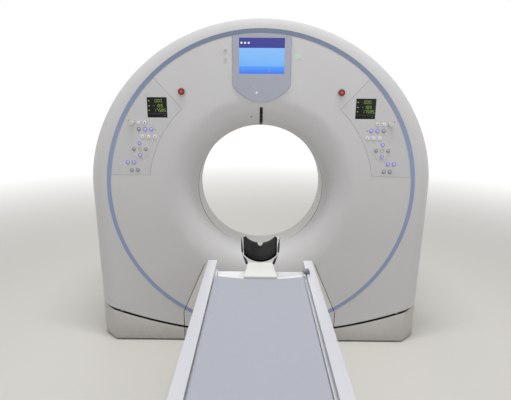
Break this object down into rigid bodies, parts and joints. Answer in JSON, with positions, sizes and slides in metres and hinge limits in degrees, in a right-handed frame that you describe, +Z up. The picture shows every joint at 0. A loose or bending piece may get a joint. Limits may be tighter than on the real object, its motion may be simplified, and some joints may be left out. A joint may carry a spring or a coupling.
{
  "type": "ct scanner",
  "caption": "Tilting CT scanner gantry with a round bore, rotating tube and detector inside, and a lifting patient table with sliding cradle and head holder.",
  "frame": {"origin": "on the floor, on the centre plane, level with the gantry's front face", "axes": "+X to the right as seen from the table, +Y from the table into the bore, +Z up"},
  "size_m": [1.91, 3.205, 1.823],
  "materials": {
    "cover_white": "satin",
    "panel_white": "satin",
    "insert_beige": "satin",
    "shield_lavender": "satin",
    "strip_blue": "satin",
    "liner_beige": "satin",
    "window_black": "gloss",
    "screen_blue": "gloss",
    "lamp": "gloss",
    "button_white": "satin",
    "stop_red": "gloss",
    "frame_steel": "satin",
    "bearing_steel": "satin",
    "cast_aluminium": "satin",
    "motor_grey": "satin",
    "belt_rubber": "matte",
    "copper_track": "satin",
    "tube_gold": "satin",
    "unit_grey": "satin",
    "detector_blue": "satin",
    "rail_white": "satin",
    "tray_white": "satin",
    "cradle_ivory": "satin",
    "mat_lavender": "woven",
    "pad_black": "smooth",
    "strap_black": "woven",
    "clip_grey": "matte"
  },
  "bodies": {
    "stand": {"base_frame": "frame_steel", "base_skirt": "cover_white", "tilt_motor": "motor_grey", "pedestal_cover": "tray_white", "lift_motor": "motor_grey"},
    "tilting_gantry": {"tilt_frame": "frame_steel", "outer_shell": "cover_white", "front_cover": "cover_white", "left_control_panel": "panel_white", "right_control_panel": "panel_white", "display_panel": "shield_lavender", "main_screen": "screen_blue", "readouts": "window_black", "lower_insert": "insert_beige", "light_strip": "strip_blue", "bore_liner": "liner_beige", "laser_window": "window_black", "indicator_lamps": "lamp", "rear_cover": "cover_white", "bearing_outer_ring": "bearing_steel", "drive_motor": "motor_grey", "drive_belt": "belt_rubber", "brush_block": "motor_grey"},
    "rotor": {"rotor_drum": "cast_aluminium", "bearing_inner_ring": "bearing_steel", "xray_tube": "tube_gold", "collimator": "bearing_steel", "high_voltage_unit": "unit_grey", "oil_cooler": "unit_grey", "detector": "detector_blue", "slip_ring": "copper_track"},
    "belt_pulley": {"motor_pulley": "cast_aluminium"},
    "telescope_middle": {"middle_sleeve": "rail_white"},
    "table_lift_part": {"upper_sleeve": "rail_white", "table_frame": "cast_aluminium", "table_tray": "tray_white", "side_rails": "rail_white", "rail_clip": "clip_grey", "cradle_motor": "motor_grey"},
    "spindle": {"lift_screw": "bearing_steel"},
    "sliding_cradle": {"cradle": "cradle_ivory", "mat": "mat_lavender", "head_holder": "cradle_ivory", "head_pad": "pad_black", "head_straps": "strap_black"},
    "friction_wheel": {"cradle_wheel": "belt_rubber"},
    "left_key_1": {"left_button_1": "button_white"},
    "left_key_2": {"left_button_2": "button_white"},
    "left_key_3": {"left_button_3": "button_white"},
    "left_key_4": {"left_button_4": "button_white"},
    "left_key_5": {"left_button_5": "button_white"},
    "left_knob": {"left_speed_knob": "button_white"},
    "left_stop": {"left_stop_button": "stop_red"},
    "right_key_1": {"right_button_1": "button_white"},
    "right_key_2": {"right_button_2": "button_white"},
    "right_key_3": {"right_button_3": "button_white"},
    "right_key_4": {"right_button_4": "button_white"},
    "right_key_5": {"right_button_5": "button_white"},
    "right_knob": {"right_speed_knob": "button_white"},
    "right_stop": {"right_stop_button": "stop_red"}
  },
  "joints": [
    {"name": "gantry_tilt", "type": "hinge", "parent": "stand", "child": "tilting_gantry", "pos_m": [0, 0.26, 0.93], "axis": [1, 0, 0], "range_deg": [-18, 18]},
    {"name": "rotor_spin", "type": "hinge", "parent": "tilting_gantry", "child": "rotor", "pos_m": [0, 0.26, 0.93], "axis": [0, 1, 0], "continuous": true},
    {"name": "pulley_spin", "type": "hinge", "parent": "tilting_gantry", "child": "belt_pulley", "pos_m": [0.69, 0.26, 0.37], "axis": [0, 1, 0], "continuous": true},
    {"name": "table_lift", "type": "slide", "parent": "stand", "child": "table_lift_part", "axis": [0, 0, 1], "range_m": [-0.12, 0.15]},
    {"name": "middle_sleeve_slide", "type": "slide", "parent": "stand", "child": "telescope_middle", "axis": [0, 0, 1], "range_m": [-0.061, 0.076]},
    {"name": "screw_spin", "type": "hinge", "parent": "stand", "child": "spindle", "pos_m": [0, -1.24, 0.2], "axis": [0, 0, 1], "range_deg": [-2165, 2705]},
    {"name": "cradle_slide", "type": "slide", "parent": "table_lift_part", "child": "sliding_cradle", "axis": [0, 1, 0], "range_m": [0, 1.5]},
    {"name": "wheel_spin", "type": "hinge", "parent": "table_lift_part", "child": "friction_wheel", "pos_m": [-0.01, -0.7, 0.564], "axis": [1, 0, 0], "range_deg": [-1759, 5]},
    {"name": "left_button_1_press", "type": "slide", "parent": "tilting_gantry", "child": "left_key_1", "axis": [0, 1, 0], "range_m": [0, 0.0025], "stiffness_N_per_m": 400, "springref_m": -0.001},
    {"name": "left_button_2_press", "type": "slide", "parent": "tilting_gantry", "child": "left_key_2", "axis": [0, 1, 0], "range_m": [0, 0.0025], "stiffness_N_per_m": 400, "springref_m": -0.001},
    {"name": "left_button_3_press", "type": "slide", "parent": "tilting_gantry", "child": "left_key_3", "axis": [0, 1, 0], "range_m": [0, 0.0025], "stiffness_N_per_m": 400, "springref_m": -0.001},
    {"name": "left_button_4_press", "type": "slide", "parent": "tilting_gantry", "child": "left_key_4", "axis": [0, 1, 0], "range_m": [0, 0.0025], "stiffness_N_per_m": 400, "springref_m": -0.001},
    {"name": "left_button_5_press", "type": "slide", "parent": "tilting_gantry", "child": "left_key_5", "axis": [0, 1, 0], "range_m": [0, 0.0025], "stiffness_N_per_m": 400, "springref_m": -0.001},
    {"name": "left_knob_turn", "type": "hinge", "parent": "tilting_gantry", "child": "left_knob", "pos_m": [-0.684, 0, 1.306], "axis": [0, 1, 0], "range_deg": [-135, 135]},
    {"name": "left_stop_press", "type": "slide", "parent": "tilting_gantry", "child": "left_stop", "axis": [0, 1, 0], "range_m": [0, 0.004], "stiffness_N_per_m": 1500, "springref_m": -0.001},
    {"name": "right_button_1_press", "type": "slide", "parent": "tilting_gantry", "child": "right_key_1", "axis": [0, 1, 0], "range_m": [0, 0.0025], "stiffness_N_per_m": 400, "springref_m": -0.001},
    {"name": "right_button_2_press", "type": "slide", "parent": "tilting_gantry", "child": "right_key_2", "axis": [0, 1, 0], "range_m": [0, 0.0025], "stiffness_N_per_m": 400, "springref_m": -0.001},
    {"name": "right_button_3_press", "type": "slide", "parent": "tilting_gantry", "child": "right_key_3", "axis": [0, 1, 0], "range_m": [0, 0.0025], "stiffness_N_per_m": 400, "springref_m": -0.001},
    {"name": "right_button_4_press", "type": "slide", "parent": "tilting_gantry", "child": "right_key_4", "axis": [0, 1, 0], "range_m": [0, 0.0025], "stiffness_N_per_m": 400, "springref_m": -0.001},
    {"name": "right_button_5_press", "type": "slide", "parent": "tilting_gantry", "child": "right_key_5", "axis": [0, 1, 0], "range_m": [0, 0.0025], "stiffness_N_per_m": 400, "springref_m": -0.001},
    {"name": "right_knob_turn", "type": "hinge", "parent": "tilting_gantry", "child": "right_knob", "pos_m": [0.684, 0, 1.306], "axis": [0, 1, 0], "range_deg": [-135, 135]},
    {"name": "right_stop_press", "type": "slide", "parent": "tilting_gantry", "child": "right_stop", "axis": [0, 1, 0], "range_m": [0, 0.004], "stiffness_N_per_m": 1500, "springref_m": -0.001}
  ],
  "couplings": [
    {"joint": "pulley_spin", "follows": "rotor_spin", "ratio": 12.374},
    {"joint": "middle_sleeve_slide", "follows": "table_lift", "ratio": 0.5},
    {"joint": "screw_spin", "follows": "table_lift", "rad_per_m": 314.16},
    {"joint": "wheel_spin", "follows": "cradle_slide", "rad_per_m": -20.408}
  ]
}
